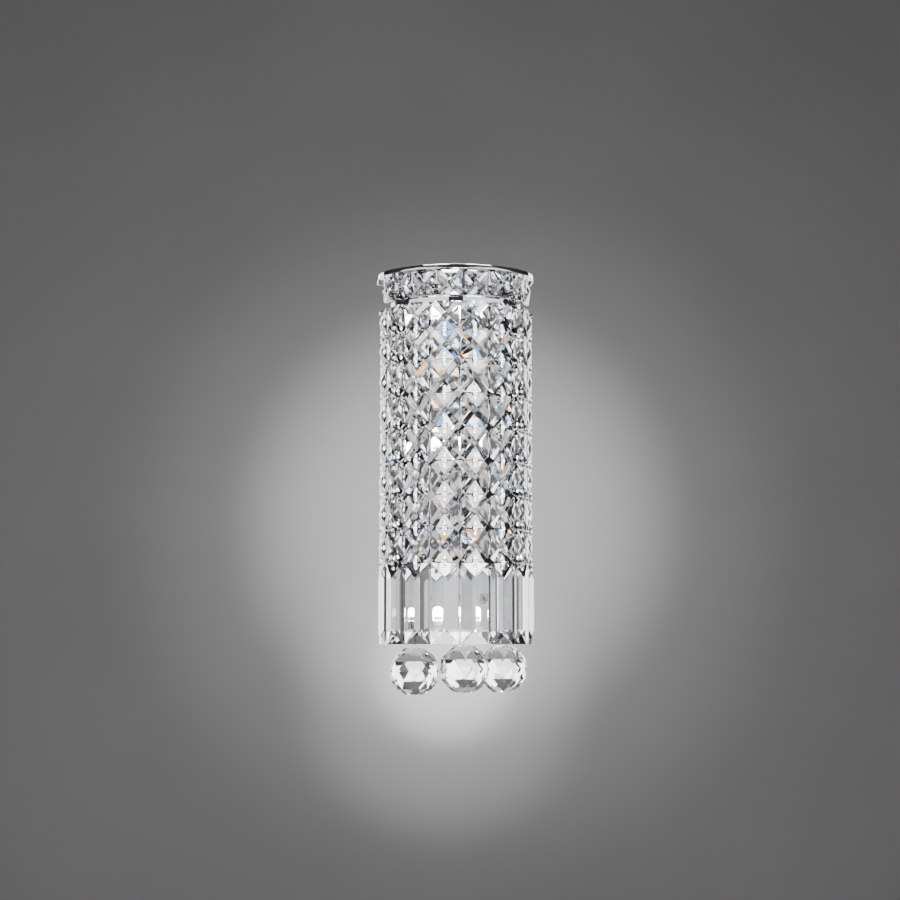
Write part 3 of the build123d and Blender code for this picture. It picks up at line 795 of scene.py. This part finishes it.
@dataclass
class Lamps:
    """Pin-base capsule lamps: quartz capsule, ribbed ceramic base, and a coil on the CAD node's leads."""

    frame: Frame
    steps: int = 36
    wall: float = 0.8 * MM
    dome: float = 0.85  # the dome's height over its radius
    dome_steps: int = 9
    foot: tuple[float, float] = (0.3 * MM, 0.4 * MM)  # chamfer inwards and up
    ribs: int = 3
    rib_depth: float = 0.6 * MM
    rib_swell: float = 0.6  # power of the half sine: less than 1 is fuller
    rib_steps: int = 37
    coil_half: float = 1.5 * MM
    coil_radius: float = 0.5 * MM
    coil_turns: int = 7
    coil_steps: int = 14  # in a turn
    wire: float = 0.16 * MM
    wire_sides: int = 6

    def on_axis(self, profile: np.ndarray, low: np.ndarray, high: np.ndarray) -> Part:
        """A profile revolved about the upright axis of a box, from the box's foot.

        Args:
            profile: (n, 2) pairs of radius and height.
            low: the box's lowest corner.
            high: its highest corner.

        Returns:
            Points and quads.
        """
        points, quads = revolved(profile, self.steps)
        return points + ((low[0] + high[0]) / 2, (low[1] + high[1]) / 2, low[2]), quads

    def capsule(self, body: str) -> None:
        """Closed tube with a domed end: (r cos t, h + k r sin t) up to the pole, inside as outside.

        Args:
            body: which lamp.
        """
        low, high = self.frame.box(f"{body}_capsule")
        radius, head = (high[0] - low[0]) / 2, high[2] - low[2]
        bend = np.radians(np.linspace(0, 90, self.dome_steps))
        domes = []
        for size, pole in ((radius, head), (radius - self.wall, head - self.wall)):
            rise = self.dome * size
            domes.append(np.stack([size * np.cos(bend), pole - rise + rise * np.sin(bend)], axis=1))
        outer, inner = domes
        inset, lift = self.foot
        foot = [[0.0, 0.0], [radius - inset, 0.0], [radius, lift]]
        floor = [[radius - self.wall, self.wall], [0.0, self.wall]]
        profile = np.concatenate([foot, outer, inner[::-1], floor])
        piece = mesh_object(f"{body}_quartz", *self.on_axis(profile, low, high))
        places = np.empty(3 * len(piece.data.vertices))
        piece.data.vertices.foreach_get("co", places)
        share = piece.data.attributes.new(HEIGHT_SHARE, "FLOAT", "POINT")
        share.data.foreach_set("value", (places[2::3] - low[2]) / head)
        self.frame.finish(smooth(piece, angle=60.0), Finish.QUARTZ, body, "lamp_glass", [f"{body}_capsule"])

    def base(self, body: str) -> None:
        """Ribbed base: its radius swells by a half sine at each rib.

        Args:
            body: which lamp.
        """
        low, high = self.frame.box(f"{body}_base")
        widest, height = (high[0] - low[0]) / 2, high[2] - low[2]
        rise = np.linspace(0.0, 1.0, self.rib_steps)
        swell = np.abs(np.sin(self.ribs * math.pi * rise)) ** self.rib_swell
        side = np.stack([widest - self.rib_depth * (1 - swell), rise * height], axis=1)
        profile = np.concatenate([[[0.0, 0.0]], side, [[0.0, height]]])
        piece = mesh_object(f"{body}_ceramic", *self.on_axis(profile, low, high))
        self.frame.finish(smooth(piece, angle=50.0), Finish.CERAMIC, body, "ceramic", [f"{body}_base"])

    def filament(self, body: str) -> None:
        """Coil across the capsule: (k u, r cos wu, r sin wu) for u from -1 to 1, so w u turns round X.

        Args:
            body: which lamp.
        """
        low, high = self.frame.box(f"{body}_capsule")
        run = np.linspace(-1.0, 1.0, self.coil_turns * self.coil_steps)
        angle = run * math.pi * self.coil_turns
        coil = [run * self.coil_half, self.coil_radius * np.cos(angle), self.coil_radius * np.sin(angle)]
        path = np.stack(coil, axis=1) + (low + high) / 2
        piece = mesh_object(f"{body}_coil", *tube(path, self.wire, self.wire_sides))
        self.frame.finish(smooth(piece, angle=60.0), Finish.FILAMENT, body, "tungsten")

    def build(self) -> None:
        """Builds every lamp."""
        for body in self.frame.bodies("lamp_"):
            self.capsule(body)
            self.base(body)
            self.filament(body)


@dataclass
class CadDress:
    """Finishes for the CAD nodes, by their material slots."""

    frame: Frame
    by_slot: dict[str, Finish] = field(default_factory=lambda: {
        "chrome": Finish.CHROME, "pan_metal": Finish.PAN, "zinc_steel": Finish.STEEL,
        "ground_brass": Finish.BRASS, "crystal": Finish.CRYSTAL, "lamp_glass": Finish.QUARTZ,
        "ceramic": Finish.CERAMIC, "tungsten": Finish.STEEL, "bush": Finish.RUBBER})

    def build(self) -> None:
        """Gives each node the finish of its slot in the record."""
        for part in self.frame.packed["record"]["subparts"]:
            finish = self.by_slot[part["material_slot"]]
            self.frame.palette.dress(self.frame.packed["nodes"][part["node"]], finish)
            log.info("%s is %s", part["node"], finish.name.lower())


# ------------------------------------------------------------------ the studio
def hang(name: str, lamp: bpy.types.Light, stand: Matrix) -> None:
    """Puts a light in the scene.

    Args:
        name: the object's name.
        lamp: the light.
        stand: where it hangs; it shines along its own -Z.
    """
    piece = bpy.data.objects.new(name, lamp)
    piece.matrix_world = stand
    bpy.context.scene.collection.objects.link(piece)


def facing(place: Vector, aim: Vector) -> Matrix:
    """A stand at a place, with its -Z towards the aim."""
    return Matrix.Translation(place) @ (aim - place).to_track_quat("-Z", "Y").to_matrix().to_4x4()


@dataclass(frozen=True)
class SoftBox:
    """A rectangular studio light: where it stands round the drum, and what it gives."""

    name: str
    azimuth: float  # degrees from the front, positive to the right
    distance: float
    height: float
    size: tuple[float, float]
    radiance: float
    colour: Colour = (1.0, 1.0, 1.0)
    fringe: float = 0.0  # height of the coloured strips, or 0 for none
    above: Colour = (0.26, 0.52, 1.0)
    below: Colour = (1.0, 0.52, 0.22)

    def panel(self, name: str, stand: Matrix, size: tuple[float, float], colour: Colour) -> None:
        """Hangs one rectangle of light with the box's radiance.

        Args:
            name: the light's name.
            stand: where it hangs.
            size: width and height.
            colour: its colour.
        """
        lamp = bpy.data.lights.new(name, "AREA")
        lamp.shape = "RECTANGLE"
        lamp.size, lamp.size_y = size
        lamp.energy = math.pi * size[0] * size[1] * self.radiance
        lamp.color = colour
        hang(name, lamp, stand)

    def build(self, aim: Vector) -> None:
        """Hangs the box at its azimuth. A fringe is a blue strip above it and an orange one below.

        Args:
            aim: the point it faces.
        """
        turn = math.radians(self.azimuth)
        place = Vector((self.distance * math.sin(turn), -self.distance * math.cos(turn), self.height))
        stand = facing(place, aim)
        self.panel(self.name, stand, self.size, self.colour)
        if self.fringe:
            shift = (self.size[1] + self.fringe) / 2
            for strip, side, colour in (("blue", 1, self.above), ("orange", -1, self.below)):
                beside = stand @ Matrix.Translation((0.0, side * shift, 0.0))
                self.panel(f"{self.name}_{strip}", beside, (self.size[0], self.fringe), colour)


@dataclass(frozen=True)
class Pool:
    """A spot behind the sconce that lays a soft pool of light on the backdrop."""

    name: str
    aim_x: float
    aim_z: float
    spread: float  # full angle in degrees
    power: float
    place: tuple[float, float, float] = (0.0, 0.4, -0.05)
    bulb: float = 0.03
    colour: Colour = (1.0, 0.985, 0.955)

    def build(self, backdrop_y: float) -> None:
        """Hangs the spot.

        Args:
            backdrop_y: where the backdrop is.
        """
        lamp = bpy.data.lights.new(self.name, "SPOT")
        lamp.energy, lamp.spot_size, lamp.spot_blend = self.power, math.radians(self.spread), 1.0
        lamp.shadow_soft_size = self.bulb
        lamp.color = self.colour
        hang(self.name, lamp, facing(Vector(self.place), Vector((self.aim_x, backdrop_y, self.aim_z))))


@dataclass
class Studio:
    """Pale floor, far backdrop with pools of light, soft boxes on all sides of the drum, and a dim sky.

    The low and high boxes are what the crystals' slanting facets see, and make their whites. The glows and
    the rear boxes stand behind the drum, for its sides, the balls and the views from the back and above.
    """

    palette: Palette
    floor_z: float = -1.35
    backdrop_y: float = 3.2
    half_width: float = 6.0
    ceiling_z: float = 3.0
    aim: tuple[float, float, float] = (0.0, -0.06, 0.0)
    sky: Colour = (0.055, 0.057, 0.06)
    boxes: tuple[SoftBox, ...] = (
        SoftBox("left_box", -53.0, 1.5, 0.12, (2.1, 0.75), 2.6, (1.0, 0.995, 0.985)),
        SoftBox("right_box", 47.5, 1.5, 0.12, (2.3, 0.75), 2.6, (0.985, 0.99, 1.0)),
        SoftBox("front_box", 0.0, 2.5, -0.24, (1.8, 0.42), 2.6),
        SoftBox("low_left_box", -32.0, 1.2, -0.75, (0.85, 0.5), 34.0, fringe=0.05),
        SoftBox("low_right_box", 32.0, 1.2, -0.75, (0.85, 0.5), 34.0, fringe=0.05),
        SoftBox("high_left_box", -32.0, 1.2, 0.85, (0.85, 0.36), 30.0, fringe=0.05),
        SoftBox("high_right_box", 32.0, 1.2, 0.85, (0.85, 0.36), 30.0, fringe=0.05),
        SoftBox("crown", 0.0, 0.5, 1.8, (1.2, 0.8), 10.0),
        SoftBox("left_glow", -145.0, 1.3, 0.05, (0.6, 1.1), 5.0, (1.0, 0.98, 0.95)),
        SoftBox("right_glow", 145.0, 1.3, 0.05, (0.6, 1.1), 5.0, (1.0, 0.98, 0.95)),
        SoftBox("rear_glow", 180.0, 0.9, -0.22, (0.55, 0.5), 2.4, (1.0, 0.99, 0.97)),
        SoftBox("rear_crown", 180.0, 1.2, 2.0, (2.4, 1.0), 0.9),
    )
    pools: tuple[Pool, ...] = (
        Pool("wide_pool", 0.2, 0.10, 80.0, 60.0),
        Pool("close_pool", 0.2, 0.10, 38.0, 360.0),
        Pool("core_pool", 0.2, 0.12, 25.0, 1300.0),
        Pool("low_pool", 0.16, -0.30, 17.0, 560.0),
        Pool("foot_pool", 0.17, -0.25, 9.0, 1700.0),
    )

    def plane(self, name: str, corners: Sequence[Sequence[float]], finish: Finish) -> None:
        """One flat face that belongs to the stage.

        Args:
            name: its name.
            corners: its four corners, in order round it.
            finish: its finish.
        """
        piece = mesh_object(name, np.array(corners, float), np.array([[0, 1, 2, 3]]))
        self.palette.dress(piece, finish)

    def build(self) -> None:
        """Sets up floor, backdrop, sky and lights."""
        side, rear, low, high = self.half_width, self.backdrop_y, self.floor_z, self.ceiling_z
        near, far = [(-side, -side, low), (side, -side, low)], [(side, rear, low), (-side, rear, low)]
        raised = [(side, rear, high), (-side, rear, high)]
        self.plane("floor", near + far, Finish.FLOOR)
        self.plane("backdrop", far[::-1] + raised, Finish.BACKDROP)
        world = bpy.data.worlds.new("sky")
        bpy.context.scene.world = world
        world.use_nodes = True
        world.node_tree.nodes["Background"].inputs["Color"].default_value = (*self.sky, 1.0)
        for box in self.boxes:
            box.build(Vector(self.aim))
        for pool in self.pools:
            pool.build(self.backdrop_y)


@dataclass
class PhotoCamera:
    """The photograph's camera: two metres out, a little to the left, level with the prisms' feet."""

    axis_y: float
    place: tuple[float, float, float] = (-0.119, -2.0, -0.182)
    focal_px: float = 2055.0
    axis_px: float = 455.3  # pixel column of the drum's axis
    pitch: float = 5.35  # degrees upwards
    sensor: float = 36.0
    nearest: float = 0.05

    def build(self) -> None:
        """Turns the camera so that the drum's axis falls on its pixel column, and pitches it up."""
        camera = bpy.data.cameras.new("photo_camera")
        camera.sensor_width = self.sensor
        camera.lens = self.sensor * self.focal_px / PHOTO_SIDE
        camera.clip_start = self.nearest
        toward = math.atan2(-self.place[0], self.axis_y - self.place[1])
        yaw = toward - math.atan2(self.axis_px - PHOTO_SIDE / 2, self.focal_px)
        stand = bpy.data.objects.new("photo_camera", camera)
        stand.rotation_euler = (math.radians(90 + self.pitch), 0.0, -yaw)
        stand.location = self.place
        bpy.context.scene.collection.objects.link(stand)
        bpy.context.scene.camera = stand


def main() -> None:
    """Loads the frame, builds the pieces in order and sets the studio."""
    logging.basicConfig(level=logging.INFO, format="%(name)s: %(message)s")
    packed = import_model()
    palette = Palette()
    frame = Frame(packed, palette)
    CadDress(frame).build()
    TopCap(frame).build()
    Strands(frame).build()
    Lamps(frame).build()
    Studio(palette).build()
    PhotoCamera(frame.axis_y).build()


if __name__ == "__main__":
    main()
